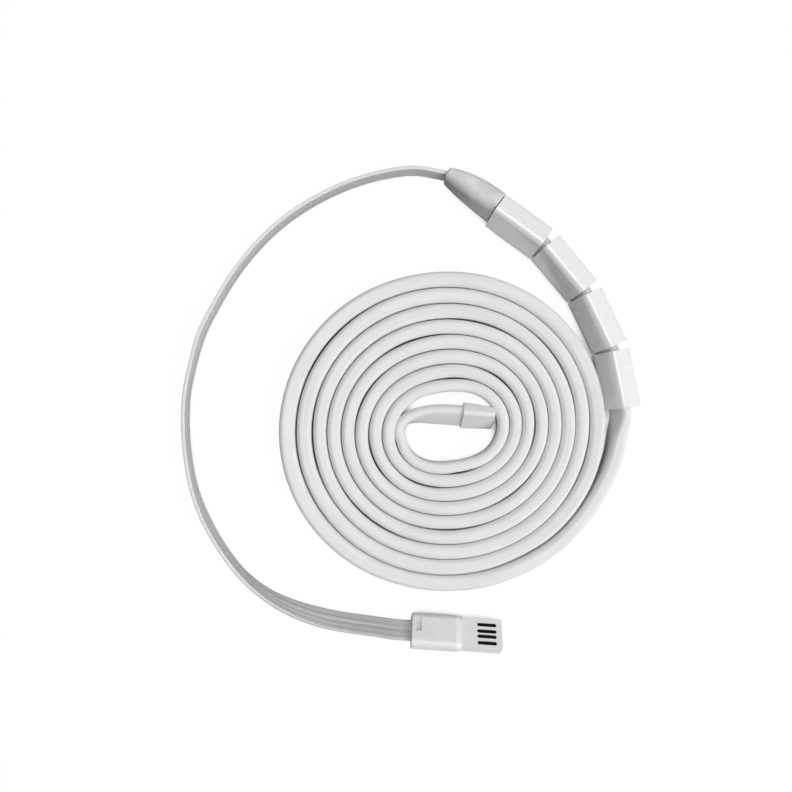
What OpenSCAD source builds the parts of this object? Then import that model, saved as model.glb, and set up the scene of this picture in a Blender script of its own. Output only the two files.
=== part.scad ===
// Long soft lead with a USB-A plug on a flat ribbon tail, four slip-on sleeves and an end cap.
// It lies as put away: the lead wound flat into a coil, the ribbon swept round it.
// Millimetres, +Z up, the surface it lies on at z = 0, the middle of its outline at x = y = 0.

/* [Plug body] */
// Length of the grip, from its rear face to the foot of the slope
plug_len = 17.5; // [15:0.5:24]
// Width of the grip
plug_w = 13.4; // [13.2:0.1:16]
// Thickness of the grip
plug_t = 7.5; // [7:0.25:10]
// Radius along the long edges of the grip
plug_edge_r = 2.6; // [1:0.1:3]
// Length of the slope from the grip down to the tongue
slope_len = 2.7; // [2:0.1:5]
// How far the plug is rolled over on its side as it lies
plug_roll = 37; // [0:1:60]
// Heading of the plug's tongue, below the X axis
plug_heading = 4; // [0:1:10]

/* [Plug tongue] */
// Width of the tongue
tongue_w = 12; // [11.8:0.05:12.2]
// Thickness of the tongue
tongue_t = 4.5; // [4.3:0.05:4.7]
// Length of the tongue in front of the slope
tongue_len = 16; // [14:0.5:19]
// How deep the tongue's root sits in the grip
root_depth = 6; // [4:0.5:8]
// How much slimmer the root is than the tongue
root_step = 0.5; // [0.3:0.05:0.8]
// Length of a contact slot, tip to tip
slot_len = 7.7; // [6:0.1:9]
// Width of a contact slot
slot_w = 1.4; // [1.2:0.05:1.6]
// Depth of a contact slot
slot_depth = 1.5; // [1:0.1:1.8]
// Distance from the tongue's tip to the slots
slot_setback = 2.2; // [1.5:0.1:4]

/* [Contacts and cores] */
// Width of a contact strip
contact_w = 1; // [0.8:0.05:1.1]
// Thickness of a contact strip
contact_t = 0.3; // [0.2:0.05:0.4]
// Distance of the two data contacts from the middle
contact_inner_y = 1; // [0.9:0.05:1.1]
// Distance of the two power contacts from the middle
contact_outer_y = 3.5; // [3.4:0.05:3.6]
// Diameter of one bare core
core_d = 0.8; // [0.5:0.05:0.8]

/* [Ribbon] */
// Width of the flat ribbon
ribbon_w = 8; // [6:0.25:9]
// Thickness of the flat ribbon
ribbon_t = 1.5; // [1.2:0.1:2]
// Bevel along the ribbon's edges
ribbon_bevel = 0.4; // [0.2:0.05:0.5]

/* [Boot] */
// Length of the boot between ribbon and lead
boot_len = 23.3; // [20:0.1:30]
// Thickness of the boot at the ribbon
boot_tip_w = 5; // [3.5:0.1:6]
// Height of the boot at the ribbon
boot_tip_h = 9.6; // [9.2:0.1:11]
// Thickness of the boot at the lead
boot_end_w = 9.4; // [8.4:0.1:9.8]
// Height of the boot at the lead
boot_end_h = 13.4; // [12.4:0.1:14.5]
// How far the lead is gripped inside the boot
boot_grip = 3; // [2:0.25:5]

/* [Lead] */
// Thickness of the lead
lead_w = 4.2; // [4:0.05:4.25]
// Height of the lead
lead_h = 10; // [9:0.25:10.4]
// Bevel along the lead's edges
lead_bevel = 1.1; // [0.6:0.1:1.6]

/* [Coil] */
// Number of turns in the coil
coil_turns = 8.3; // [4.3:1:8.3]
// Mean radius at which the last turn ends
coil_inner_r = 16.6; // [16:0.1:18]
// Step between turns outside
pitch_outer = 6.1; // [5.9:0.05:6.15]
// Step between turns inside
pitch_inner = 5.2; // [5.15:0.05:5.4]
// How far the outer turn is from round
oval_outer = 1.1; // [0:0.1:1.5]
// How much each further turn adds to that
oval_step = 0.22; // [0:0.01:0.23]
// Direction in which the turns are longest
oval_heading = 12; // [0:1:20]

/* [Sleeves] */
// Length of a sleeve
sleeve_len = 22.4; // [18:0.1:22.4]
// Thickness of a sleeve, across the lead
sleeve_w = 9.6; // [9.2:0.1:9.8]
// Height of a sleeve
sleeve_h = 14.6; // [14:0.1:15]
// Radius along the outer edges of a sleeve
sleeve_r = 2.6; // [2:0.1:3]
// Free play between the lead and a sleeve, across the lead
sleeve_play_w = 1.3; // [1.1:0.05:1.4]
// Free play between the lead and a sleeve, up and down
sleeve_play_h = 0.5; // [0.3:0.05:0.8]
// Gap from one sleeve to the next, along the lead
sleeve_gap = 2.1; // [2:0.1:3]
// How far the sleeves lean outwards
sleeve_lean = 16; // [0:1:18]

/* [End cap] */
// Length of the cap
cap_len = 11.5; // [11:0.25:12]
// Wall of the cap
cap_wall = 0.8; // [0.6:0.05:1]
// Free play between the lead and the cap
cap_play = 0.2; // [0.1:0.05:0.4]
// How deep the lead sits in the cap
cap_grip = 9; // [6:0.5:9.5]
// How much slimmer the cap's closed end is
cap_taper = 1.4; // [1:0.1:1.8]
// How far the lead's end and its cap lean over
tail_lean = 38; // [20:1:50]

/* [Hidden] */

$fn = 32;
// How far a cut runs on past the solid it cuts
through = 1;

// Plug, in its own frame: x along the plug from the grip's rear face, z out of the slotted face.
plug_pocket = [0.8, 8.8, 2.4];
plug_pos = [1, -87.3];
plug_z = plug_w/2*sin(plug_roll) + plug_t/2*cos(plug_roll)
         - plug_edge_r*(sin(plug_roll) + cos(plug_roll) - 1);
front_x = plug_len + slope_len;
tip_x = front_x + tongue_len;
collar_edge = 0.3;
collar_w = tongue_w + 2*collar_edge;
collar_t = tongue_t + 2*collar_edge;
rear_bevel = [1, 0.6];
slot_x = tip_x - slot_setback - slot_len;
slot_floor = tongue_t/2 - slot_depth;
root_x = front_x - root_depth;
fit_gap = 0.05;
window = [2.2, 6, 0.6];
window_pos = [1.6, -0.9];
tip_bevel = 0.8;
tongue_r = 0.5;
core_z = slot_floor - core_d/2;
contact_tail = 1.6;
contact_ys = [-contact_outer_y, -contact_inner_y, contact_inner_y, contact_outer_y];

// Coil: its middle, and how far that wanders from the first turn to the last
coil_centre = [15.2, -5.7];
coil_drift = [1, -1.3];
coil_first = -60;
coil_step = 15;
coil_end_run = lead_w + 0.2;
// The first turn stands off the second by this much more, over this share of a turn
coil_swell = 1.2;
swell_turns = 0.6;
// Turns after which the lead first crosses, and last crosses, the coil's +X side
first_east = (360 + coil_first)/360;
last_east = first_east + floor(coil_turns - first_east);

// The bend on which the sleeves ride: a circular arc, run clockwise, just clear of the coil.
bend_centre = [-14.5, -6.5];
sleeve_clear = 1.5;
sleeve_foot = (sleeve_w/2 - sleeve_r)*cos(sleeve_lean) + (sleeve_h/2 - sleeve_r)*sin(sleeve_lean)
              + sleeve_r;
bend_r = coil_point(first_east)[0] + lead_w/2 + sleeve_clear + sleeve_foot - bend_centre[0];
bend_first = 54;
bend_travel = 6;
sleeve_count = 4;
bore_r = 0.8;
boot_gap = 0.6;
run_lead_in = 3.5;
half_sleeve = asin(sleeve_len/2/bend_r);
sleeve_step = 2*half_sleeve + arc(sleeve_gap);
// The bend bows inwards by this much from a sleeve's middle to its ends
sleeve_bow = bend_r*(1 - cos(half_sleeve));
sleeve_z = (sleeve_h/2 - sleeve_r)*cos(sleeve_lean) + (sleeve_w/2 - sleeve_r)*sin(sleeve_lean)
           + sleeve_r;
boot_face = bend_first + half_sleeve + arc(boot_gap);
bend_start = boot_face + arc(boot_grip);
bend_end = bend_first - (sleeve_count - 1)*sleeve_step - half_sleeve - bend_travel - arc(run_lead_in);

// Boot: its axis leaves the lead's end and bends a little towards the ribbon.
boot_heading = -36;
boot_turn = 5;
boot_rings = 6;
// Its corner radius as a share of its thickness, and how much lower it ends than the sleeves run
boot_roundness = 0.3;
boot_drop = 0.5;
// How far the boot's wide end lies outside the middle of the lead
boot_out = 1.5;
// Power that keeps the boot full for longer before it narrows: 1 would be a plain wedge
boot_fullness = 1.35;
boot_lean = sleeve_lean + 4;
// Pocket behind the lead's end, with one crimped joint per core above the other
splice_room = 12;
splice_w = 2.6;
splice_zs = [-2.7, -0.9, 0.9, 2.7];
ferrule_d = 1.5;
ferrule_len = 5;
wire_gap = 0.2;
grip_gap = 0.1;
splice_heading = boot_heading + 2;
splice_h = 8.5;

// Ribbon route, plug to boot: x, y, height of its middle, lean from standing on edge.
ribbon_start = [plug_pos[0] + plug_pocket[0]*cos(plug_heading),
                plug_pos[1] - plug_pocket[0]*sin(plug_heading), plug_z, 90 - plug_roll];
ribbon_route = [
    [-5, -86.9, 6.2, 52], [-14, -86.2, 4.6, 49], [-24, -85.2, 3.7, 47], [-34.5, -83.2, 3.7, 42],
    [-46, -79.5, 3.8, 27], [-57.5, -73.5, 4, 10], [-67.5, -65, 4, 2], [-75.5, -54.5, 4, 0],
    [-82, -43, 4, 0], [-86.5, -31, 4.1, -3], [-89, -18, 4.1, -4], [-90, -5.5, 4.1, -4],
    [-89.5, 7, 4.1, -4], [-87, 19.5, 4.1, -3], [-83.5, 31.5, 4, 0], [-78, 42.5, 4, 0],
    [-71.5, 53.5, 4, 0], [-64, 63.5, 4, 0], [-55.5, 72.5, 4, 0], [-45.5, 80.5, 4, 0],
    [-34, 87.3, 4.1, 0], [-22, 92.3, 4.6, 0], [-9.5, 95.4, 5.5, 0], [2.5, 96.4, 6.6, 0]];

// Lead route from the last sleeve to the coil: direction from the coil's middle, how far outside
// the coil's first turn, height of the lead's middle, lean.
run_route = [
    [-10, 6.1, 7.2, 13], [-15, 5.8, 6.5, 8], [-21, 5.1, 5.8, 4], [-27.5, 3.8, 5.3, 1],
    [-34, 2.4, 5, 0], [-41, 1.2, 5, 0], [-48.5, 0.3, 5, 0]];

// Lead route from the coil's end to the cap: x and y from that end, height of the middle, lean.
tail_route = [
    [0.9, 2.4, 5.05, 1], [2.9, 4, 5.1, 5], [5.6, 5.1, 5.15, 13], [9, 5.8, 5.15, 22],
    [13.5, 6.1, 5.3, 32]];
cap_clear = 2.75;
cap_rise = 5.7;
cap_heading = -5;
// Length of straight lead in front of the cap
cap_lead_in = 5;
cap_w = lead_w + cap_play + 2*cap_wall;
cap_h = lead_h + cap_play + 2*cap_wall;
cap_r = 1.8;
cap_z = (cap_h/2 - cap_r)*cos(tail_lean) + (cap_w/2 - cap_r)*sin(tail_lean) + cap_r;
cap_pos = [coil_point(last_east)[0] - lead_w/2 - cap_clear - cap_len,
           coil_centre[1] + coil_drift[1] + cap_rise];

// ---- directions and points along the cords ----
function along(a) = [cos(a), sin(a)];
// Angle of the bend that a length along it takes
function arc(length) = length/bend_r*180/PI;
function flat(p) = [p[0], p[1]];
function unit(v) = v/norm(v);
function heading(p, i) =
    let (last = len(p) - 1)
    unit(flat(p[min(i + 1, last)]) - flat(p[max(i - 1, 0)]));

// A cord's section at a point: q[0] runs to the left of the way it goes, q[1] runs up.
function ring(p, dir, profile, lean) =
    [for (q = profile)
        let (side = q[0]*cos(lean) + q[1]*sin(lean), up = q[1]*cos(lean) - q[0]*sin(lean))
        [p[0] - dir[1]*side, p[1] + dir[0]*side, p[2] + up]];

function slab(w, h, b) =
    [[-w/2 + b, -h/2], [w/2 - b, -h/2], [w/2, -h/2 + b], [w/2, h/2 - b],
     [w/2 - b, h/2], [-w/2 + b, h/2], [-w/2, h/2 - b], [-w/2, -h/2 + b]];
function coil_profile() =
    [[-lead_w/2, -lead_h/2], [lead_w/2, -lead_h/2], [lead_w/2, lead_h/2 - lead_bevel],
     [lead_w/2 - lead_bevel, lead_h/2], [-lead_w/2 + lead_bevel, lead_h/2],
     [-lead_w/2, lead_h/2 - lead_bevel]];
function round_profile(w, h, r, steps) =
    [for (corner = [0:3], i = [0:steps])
        let (a = corner*90 + i*90/steps,
             sx = (corner == 0 || corner == 3) ? 1 : -1, sy = corner < 2 ? 1 : -1)
        [sx*(w/2 - r) + r*cos(a), sy*(h/2 - r) + r*sin(a)]];

function path_length(p, i = 0) =
    i >= len(p) - 1 ? 0 : norm([for (k = [0:2]) p[i + 1][k] - p[i][k]]) + path_length(p, i + 1);

// Skin over rings that run along a cord, closed at both ends.
module skin(rings) {
    n = len(rings[0]);
    last = len(rings) - 1;
    sides = [for (i = [0:last - 1], j = [0:n - 1])
        let (a = i*n + j, b = i*n + (j + 1)%n, c = a + n, d = b + n) each [[a, b, c], [b, d, c]]];
    start = [for (j = [1:n - 2]) [0, j + 1, j]];
    end = [for (j = [1:n - 2]) [last*n, last*n + j, last*n + j + 1]];
    polyhedron(points = [for (r = rings) each r], faces = concat(sides, start, end));
}

module cord(route, profile, start_dir, end_dir) {
    last = len(route) - 1;
    skin([for (i = [0:last])
        let (dir = i == 0 ? start_dir : i == last ? end_dir : heading(route, i))
        ring(route[i], dir, profile, route[i][3])]);
}

// Filled outline with round corners, in the plane
module round_plate(w, h, r) {
    square([w - 2*r, h], center = true);
    square([w, h - 2*r], center = true);
    for (x = [-1, 1], y = [-1, 1]) translate([x*(w/2 - r), y*(h/2 - r)]) circle(r);
}

// A bar along +X with round long edges: its thickness runs along y, its height along z
module round_bar(length, w, h, r) {
    rotate([90, 0, 90]) linear_extrude(length) round_plate(w, h, r);
}

// ---- plug ----
module place_plug() {
    translate([plug_pos[0], plug_pos[1], plug_z])
        rotate([0, 0, -plug_heading]) rotate([-plug_roll, 0, 0]) children();
}

// Half outline of the grip: straight, then eased down the slope
function ease(t) = (1 - cos(180*t))/2;
function slope_side(a, b, steps = 8) =
    [for (i = [0:steps]) [plug_len + slope_len*i/steps, a + (b - a)*ease(i/steps)]];
module grip_outline(a, b, corner) {
    top = concat([[0, a - corner], [corner*0.3, a - corner*0.3], [corner, a]], slope_side(a, b));
    under = [for (i = [len(top) - 1:-1:0]) [top[i][0], -top[i][1]]];
    polygon(concat(top, under));
}

module grip_blank() {
    intersection() {
        round_bar(front_x, plug_w, plug_t, plug_edge_r);
        linear_extrude(plug_t, center = true) grip_outline(plug_w/2, collar_w/2, rear_bevel[0]);
        rotate([90, 0, 0]) linear_extrude(plug_w, center = true)
            grip_outline(plug_t/2, collar_t/2, rear_bevel[1]);
    }
}

module plug_body() color("whitesmoke") place_plug() {
    difference() {
        grip_blank();
        translate([root_x, 0, 0])
            cube_yz(root_depth + through, tongue_w - 2*root_step + 2*fit_gap,
                    tongue_t - 2*root_step + 2*fit_gap);
        translate([-through, 0, 0]) cube_yz(plug_pocket[0] + through, plug_pocket[1], plug_pocket[2]);
        for (y = contact_ys) translate([0, y, 0])
            core_hole();
        translate([window_pos[0], window_pos[1], plug_t/2 - window[2]])
            cube([window[0], window[1], window[2] + through]);
    }
}

// Bar from x = 0, centred on y and z
module cube_yz(length, w, h) {
    translate([0, -w/2, -h/2]) cube([length, w, h]);
}

// Passage for one core and the tail of its contact
module core_hole() {
    passage_h = slot_floor + contact_t - core_z + core_d/2 + 2*fit_gap;
    translate([plug_pocket[0] - through/2, 0, core_z - core_d/2 - fit_gap + passage_h/2])
        cube_yz(root_x - plug_pocket[0] + through, contact_w + 2*fit_gap, passage_h);
}

module plug_tongue() color("whitesmoke") place_plug() {
    difference() {
        union() {
            translate([front_x, 0, 0]) intersection() {
                round_bar(tongue_len, tongue_w, tongue_t, tongue_r);
                linear_extrude(tongue_t, center = true)
                    polygon([[0, -tongue_w/2], [tongue_len - tip_bevel, -tongue_w/2],
                             [tongue_len, -tongue_w/2 + tip_bevel],
                             [tongue_len, tongue_w/2 - tip_bevel],
                             [tongue_len - tip_bevel, tongue_w/2], [0, tongue_w/2]]);
            }
            translate([root_x, 0, 0])
                cube_yz(root_depth, tongue_w - 2*root_step, tongue_t - 2*root_step);
        }
        for (y = contact_ys) {
            translate([slot_x, y, slot_floor]) linear_extrude(slot_depth + through) slot_outline();
            translate([root_x - through, y, slot_floor + contact_t/2])
                cube_yz(slot_x - root_x + slot_w/2 + through, contact_w + 2*fit_gap,
                        contact_t + 2*fit_gap);
        }
    }
}

module slot_outline() {
    translate([slot_w/2, 0]) circle(slot_w/2);
    translate([slot_len - slot_w/2, 0]) circle(slot_w/2);
    translate([slot_w/2, -slot_w/2]) square([slot_len - slot_w, slot_w]);
}

module contact(y) color("dimgray") place_plug() {
    tail_x = root_x - contact_tail;
    translate([tail_x, y, slot_floor + contact_t/2])
        cube_yz(slot_x + slot_len - slot_w - tail_x, contact_w, contact_t);
}
module contact_power() contact(-contact_outer_y);
module contact_data_minus() contact(-contact_inner_y);
module contact_data_plus() contact(contact_inner_y);
module contact_ground() contact(contact_outer_y);

module plug_cores() color("peru") place_plug() {
    for (y = contact_ys) translate([plug_pocket[0], y, core_z])
        rotate([0, 90, 0]) cylinder(d = core_d, h = root_x - plug_pocket[0]);
}

// ---- ribbon ----
module ribbon_lead() color("gainsboro") {
    route = concat([ribbon_start], ribbon_route, [boot_tip()]);
    cord(route, slab(ribbon_t, ribbon_w, ribbon_bevel), -along(-plug_heading), boot_tip_dir());
    echo(ribbon_length = path_length(route));
}

// ---- boot ----
function on_bend(a, z) = [bend_centre[0] + bend_r*cos(a), bend_centre[1] + bend_r*sin(a), z];
function boot_rear(out = 0) =
    let (p = on_bend(boot_face, sleeve_z)) [p[0] + out*cos(boot_face), p[1] + out*sin(boot_face), p[2]];
function boot_dir(t) = along(boot_heading + boot_turn*t);
// Walks back from the rear face to the tip
function boot_axis(k) = k == 0 ? boot_rear(boot_out)
    : let (p = boot_axis(k - 1), d = boot_dir((k - 0.5)/boot_rings))
      [p[0] - d[0]*boot_len/boot_rings, p[1] - d[1]*boot_len/boot_rings,
       sleeve_z - boot_drop*ease(k/boot_rings)];
function boot_tip() = let (p = boot_axis(boot_rings)) [p[0], p[1], p[2], 0];
function boot_tip_dir() = boot_dir(1);

module boot() color("gainsboro") {
    difference() {
        skin([for (k = [boot_rings:-1:0])
            let (t = k/boot_rings, slim = pow(t, boot_fullness),
                 w = boot_end_w + (boot_tip_w - boot_end_w)*slim,
                 h = boot_end_h + (boot_tip_h - boot_end_h)*slim)
            ring(boot_axis(k), boot_dir(t), round_profile(w, h, boot_roundness*w, 4),
                 boot_lean*(1 - t))]);
        bend_bar(boot_face - arc(through), bend_start + arc(wire_gap),
                 lead_w + 2*grip_gap, lead_h + 2*grip_gap);
        place_splice() translate([-splice_room, 0, 0])
            cube_yz(splice_room + through, splice_w, splice_h);
    }
}

// Frame at the lead's end inside the boot: x runs back towards the lead, and it leans with it
module place_splice() {
    translate(on_bend(bend_start, sleeve_z)) rotate([0, 0, splice_heading])
        rotate([-sleeve_lean, 0, 0]) children();
}

// A stretch of lead on the bend of the sleeves, from one angle to another
module bend_bar(from, to, w, h) {
    translate([bend_centre[0], bend_centre[1], sleeve_z]) rotate([0, 0, from])
        rotate_extrude(angle = to - from, $fn = 180)
            translate([bend_r, 0]) rotate(-sleeve_lean) polygon(slab(w, h, lead_bevel));
}

module splice_bars(from, to, d) {
    for (z = splice_zs) translate([from, 0, z]) rotate([0, 90, 0]) cylinder(d = d, h = to - from);
}
module boot_cores() color("peru") place_splice() {
    splice_bars(-splice_room, -splice_room/2 - wire_gap/2, core_d);
}
module lead_wires() color("peru") place_splice() {
    splice_bars(-splice_room/2 + wire_gap/2, -wire_gap, core_d);
}
module splice_ferrules() color("silver") place_splice() {
    for (z = splice_zs) translate([-splice_room/2 - ferrule_len/2, 0, z])
        rotate([0, 90, 0]) difference() {
            cylinder(d = ferrule_d, h = ferrule_len);
            translate([0, 0, -through]) cylinder(d = core_d + 2*fit_gap, h = ferrule_len + 2*through);
        }
}

// ---- lead ----
// The stretch under the sleeves is turned about the middle of the bend, so that they slide on it.
module lead_sleeved() color("gainsboro") {
    bend_bar(bend_end, bend_start, lead_w, lead_h);
}

function turn_angle(n) = coil_first - 360*n;
function turn_radius(n) =
    let (left = coil_turns - n, growth = (pitch_outer - pitch_inner)/(2*coil_turns))
    coil_inner_r + pitch_inner*left + growth*left*left
    + (oval_outer + oval_step*n)*cos(2*(turn_angle(n) - oval_heading))
    + (n < swell_turns ? coil_swell*pow(sin(180*n/swell_turns), 2) : 0);
function coil_point(n) =
    let (a = turn_angle(n), r = turn_radius(n),
        c = coil_centre + coil_drift*n/coil_turns)
    [c[0] + r*cos(a), c[1] + r*sin(a), lead_h/2, 0];
coil_start_dir = unit(flat(coil_point(0.01)) - flat(coil_point(0)));
coil_end_dir = unit(flat(coil_point(coil_turns)) - flat(coil_point(coil_turns - 0.01)));
function moved(p, dir, d) = [p[0] + dir[0]*d, p[1] + dir[1]*d, p[2], p[3]];
coil_start = moved(coil_point(0), coil_start_dir, -coil_end_run);
coil_end = moved(coil_point(coil_turns), coil_end_dir, coil_end_run);
coil_outer_r = coil_inner_r + coil_turns*(pitch_outer + pitch_inner)/2;
coil_steps = round(coil_turns*360/coil_step);
coil_route = concat([coil_start],
                    [for (i = [0:coil_steps]) coil_point(i*coil_turns/coil_steps)], [coil_end]);

// Least gap between one turn and the next, from the corners of one to the sides of the other
function to_line(p, a, b) =
    let (ab = b - a, t = max(0, min(1, (p - a)*ab/(ab*ab)))) norm(p - a - t*ab);
function side_points(side) =
    [for (i = [0:len(coil_route) - 1])
        let (d = heading(coil_route, i))
        flat(coil_route[i]) + side*lead_w/2*[-d[1], d[0]]];
function coil_gap() =
    let (outer = side_points(1), inner = side_points(-1), turn = round(360/coil_step),
         last = len(coil_route) - 1)
    min([for (i = [0:last - turn - 4], k = [-3:2])
        let (j = i + turn + k)
        min(to_line(inner[i], outer[j], outer[j + 1]), to_line(outer[j], inner[i], inner[i + 1]))]);

module lead_coil() color("gainsboro") {
    last = len(coil_route) - 1;
    skin([for (i = [0:last])
        let (dir = i <= 1 ? coil_start_dir : i >= last - 1 ? coil_end_dir : heading(coil_route, i))
        ring(coil_route[i], dir, coil_profile(), 0)]);
    echo(coil_gap = coil_gap(), coil_length = path_length(coil_route));
}

module lead_run() color("gainsboro") {
    from = on_bend(bend_end, sleeve_z);
    route = concat([[from[0], from[1], from[2], sleeve_lean]],
                   [for (p = run_route)
                       let (r = coil_outer_r + p[1])
                       [coil_centre[0] + r*cos(p[0]), coil_centre[1] + r*sin(p[0]), p[2], p[3]]],
                   [coil_start]);
    cord(route, slab(lead_w, lead_h, lead_bevel), [sin(bend_end), -cos(bend_end)], coil_start_dir);
    echo(run_length = path_length(route),
         sleeved_length = bend_r*(bend_start - bend_end)*PI/180);
}

// ---- sleeves ----
module sleeve(k) color("white") {
    a = bend_first - k*sleeve_step;
    translate(on_bend(a, sleeve_z)) rotate([0, 0, a - 90]) rotate([-sleeve_lean, 0, 0])
        translate([-sleeve_len/2, 0, 0]) difference() {
            round_bar(sleeve_len, sleeve_w, sleeve_h, sleeve_r);
            translate([-through, -sleeve_bow/2, 0])
                round_bar(sleeve_len + 2*through, lead_w + sleeve_play_w, lead_h + sleeve_play_h,
                          bore_r);
        }
}
module sleeve_1() sleeve(0);
module sleeve_2() sleeve(1);
module sleeve_3() sleeve(2);
module sleeve_4() sleeve(3);

// ---- tail and cap ----
module place_cap() {
    translate([cap_pos[0], cap_pos[1], cap_z])
        rotate([0, 0, cap_heading]) rotate([-tail_lean, 0, 0]) children();
}
module lead_tail() color("gainsboro") {
    d = along(cap_heading);
    route = concat([coil_end],
                   [for (p = tail_route) [coil_end[0] + p[0], coil_end[1] + p[1], p[2], p[3]]],
                   [[cap_pos[0] - cap_lead_in*d[0], cap_pos[1] - cap_lead_in*d[1], cap_z, tail_lean],
                    [cap_pos[0] + cap_grip*d[0], cap_pos[1] + cap_grip*d[1], cap_z, tail_lean]]);
    cord(route, slab(lead_w, lead_h, lead_bevel), coil_end_dir, d);
    echo(tail_length = path_length(route));
}
module end_cap() color("white") place_cap() {
    difference() {
        intersection() {
            round_bar(cap_len, cap_w, cap_h, cap_r);
            linear_extrude(cap_h, center = true)
                polygon([[0, -cap_w/2], [cap_len, -cap_w/2 + cap_taper/2],
                         [cap_len, cap_w/2 - cap_taper/2], [0, cap_w/2]]);
            rotate([90, 0, 0]) linear_extrude(cap_w, center = true)
                polygon([[0, -cap_h/2], [cap_len, -cap_h/2 + cap_taper/2],
                         [cap_len, cap_h/2 - cap_taper/2], [0, cap_h/2]]);
        }
        translate([-through, 0, 0]) cube_yz(cap_grip + through, lead_w + cap_play, lead_h + cap_play);
    }
}

plug_body();
plug_tongue();
contact_power();
contact_data_minus();
contact_data_plus();
contact_ground();
plug_cores();
ribbon_lead();
boot();
boot_cores();
splice_ferrules();
lead_wires();
lead_sleeved();
lead_run();
lead_coil();
lead_tail();
sleeve_1();
sleeve_2();
sleeve_3();
sleeve_4();
end_cap();
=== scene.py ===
"""A long flat lead as it lies put away: wound into a coil, with a ribbon and a USB-A plug swept round it."""
from math import asin, ceil, cos, pi, radians, sin

import bmesh
import bpy
from mathutils import Matrix, Vector


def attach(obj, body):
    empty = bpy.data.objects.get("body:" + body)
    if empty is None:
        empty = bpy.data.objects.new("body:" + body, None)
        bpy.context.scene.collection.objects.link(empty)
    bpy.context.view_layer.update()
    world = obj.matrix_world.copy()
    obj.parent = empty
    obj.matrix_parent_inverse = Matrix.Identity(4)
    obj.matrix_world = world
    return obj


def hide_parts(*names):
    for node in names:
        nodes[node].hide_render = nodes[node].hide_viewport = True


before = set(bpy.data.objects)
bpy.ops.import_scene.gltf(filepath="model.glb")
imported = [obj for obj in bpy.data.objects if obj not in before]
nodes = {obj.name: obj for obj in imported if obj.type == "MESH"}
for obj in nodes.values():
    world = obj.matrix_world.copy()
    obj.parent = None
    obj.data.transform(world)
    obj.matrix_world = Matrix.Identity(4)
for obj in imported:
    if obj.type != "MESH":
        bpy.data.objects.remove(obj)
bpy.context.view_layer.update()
bpy.ops.object.select_all(action="DESELECT")

MM = 0.001

# ---------------------------------------------------------------- sizes, in millimetres

# Camera: straight above, its up edge along +Y
CAMERA_AT = (-5.0, 6.5, 250.0)
CAMERA_LENS = 27.7

# Lead and ribbon sections, on edge
LEAD_WIDTH, LEAD_HEIGHT, LEAD_ROUND, LEAD_FOOT_ROUND = 4.2, 10.0, 1.9, 0.8
RIBBON_WIDTH, RIBBON_HEIGHT, RIBBON_ROUND = 1.5, 8.0, 0.45
CORE_YS = (-3.0, -1.0, 1.0, 3.0)
RIB_DEPTH = 0.12
# How far apart the skinned sections lie, and the lead's play in the boot and in the cap
LEAD_STEP, RIBBON_STEP = 1.3, 1.2
PLAY = 0.2

# Coil
COIL_TURNS = 8.3
COIL_INNER_RADIUS = 16.6
COIL_CENTRE = (15.2, -5.7)
COIL_DRIFT = (1.0, -1.3)
PITCH_OUTER, PITCH_INNER = 6.1, 5.2
OVAL_OUTER, OVAL_STEP, OVAL_HEADING = 1.1, 0.22, 12.0
COIL_SWELL, SWELL_TURNS = 1.2, 0.6
COIL_FIRST = -60.0
COIL_END_RUN = 4.4
# The soft lead squeezes up against its neighbours, down to these gaps, and leans in a little
WOUND_HALF_WIDTH = 3.25
TURN_GAP, LOOSE_GAP, LOOSE_DRIFT = 0.3, 0.75, 1.7
COIL_LEAN = -6.0
# In turns: how soon the lead leans at its start, and how soon lean and swelling fade at its end
LEAN_START, LEAN_END, SWELL_END = 0.15, 0.3, 0.25

# Sleeves, on a bend that passes just clear of the coil
SLEEVE_LENGTH, SLEEVE_WIDTH, SLEEVE_HEIGHT, SLEEVE_ROUND = 22.4, 9.6, 14.6, 2.6
SLEEVE_CROWN, SLEEVE_EDGE = 0.1, 0.16
BORE_WIDTH = 5.5
SLEEVE_GAP = 2.1
SLEEVE_LEAN = 16.0
SLEEVE_CLEAR = 1.5
BEND_CENTRE = (-14.5, -6.5)
BEND_FIRST = 54.0
# Degrees of the bend that stay free for the last sleeve's travel, and what follows them in millimetres
BEND_TRAVEL = 6.0
RUN_LEAD_IN = 3.5

# Boot
BOOT_LENGTH, BOOT_GRIP, BOOT_GAP = 23.3, 3.0, 0.6
BOOT_END, BOOT_TIP = (9.8, 13.4), (5.0, 9.6)
BOOT_HEADING, BOOT_TURN, BOOT_LEAN = -36.0, 5.0, 18.0
BOOT_OUT, BOOT_DROP, BOOT_FULLNESS = 1.5, 0.5, 2.6
BOOT_BOW, BOOT_RIM = 0.2, 0.35
BOOT_ROUNDNESS, BOOT_TIP_ROUND, BOOT_REACH, BOOT_RISE = 0.4, 0.9, 0.4, 0.5
SPLICE_ROOM, SPLICE_WIDTH, SPLICE_HEIGHT, SPLICE_TURN = 12.0, 2.6, 8.5, 2.0

# Plug
PLUG_AT = (1.0, -87.3)
PLUG_ROLL, PLUG_HEADING = 37.0, 4.0
PLUG_LENGTH, PLUG_WIDTH, PLUG_THICKNESS, PLUG_ROUND, REAR_ROUND = 17.5, 13.4, 7.5, 2.6, 0.7
SLOPE_LENGTH, COLLAR_EDGE, GRIP_EDGE = 2.7, 0.3, 0.12
TONGUE_WIDTH, TONGUE_THICKNESS, TONGUE_LENGTH, TIP_BEVEL = 12.0, 4.5, 16.0, 0.8
ROOT_DEPTH, ROOT_STEP, ROOT_PLAY, TONGUE_EDGE = 6.0, 0.5, 0.1, 0.22
SLOT_LENGTH, SLOT_WIDTH, SLOT_DEPTH, SLOT_SETBACK = 7.7, 1.4, 1.5, 2.2
SLOT_YS = (-3.5, -1.0, 1.0, 3.5)
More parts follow.
